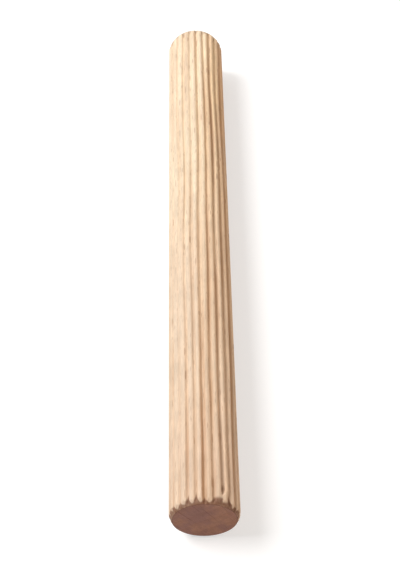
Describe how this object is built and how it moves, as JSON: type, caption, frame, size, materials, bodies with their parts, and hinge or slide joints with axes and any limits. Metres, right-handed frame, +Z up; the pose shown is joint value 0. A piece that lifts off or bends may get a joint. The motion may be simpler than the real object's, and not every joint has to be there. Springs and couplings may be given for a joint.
{
  "type": "dowel pin",
  "caption": "Long wooden dowel pin with straight glue flutes along its whole length and a small bevel at each end, lying on its side.",
  "frame": {"origin": "on the pin's axis, half way between its two end faces", "axes": "+Y along the pin from its front end to its back end, +Z up as it lies on the two ridges beside its lowest flute, +X to the right"},
  "size_m": [0.01, 0.1, 0.01],
  "materials": {
    "beech": "matte"
  },
  "bodies": {
    "root": {"dowel_pin": "beech"}
  },
  "joints": []
}
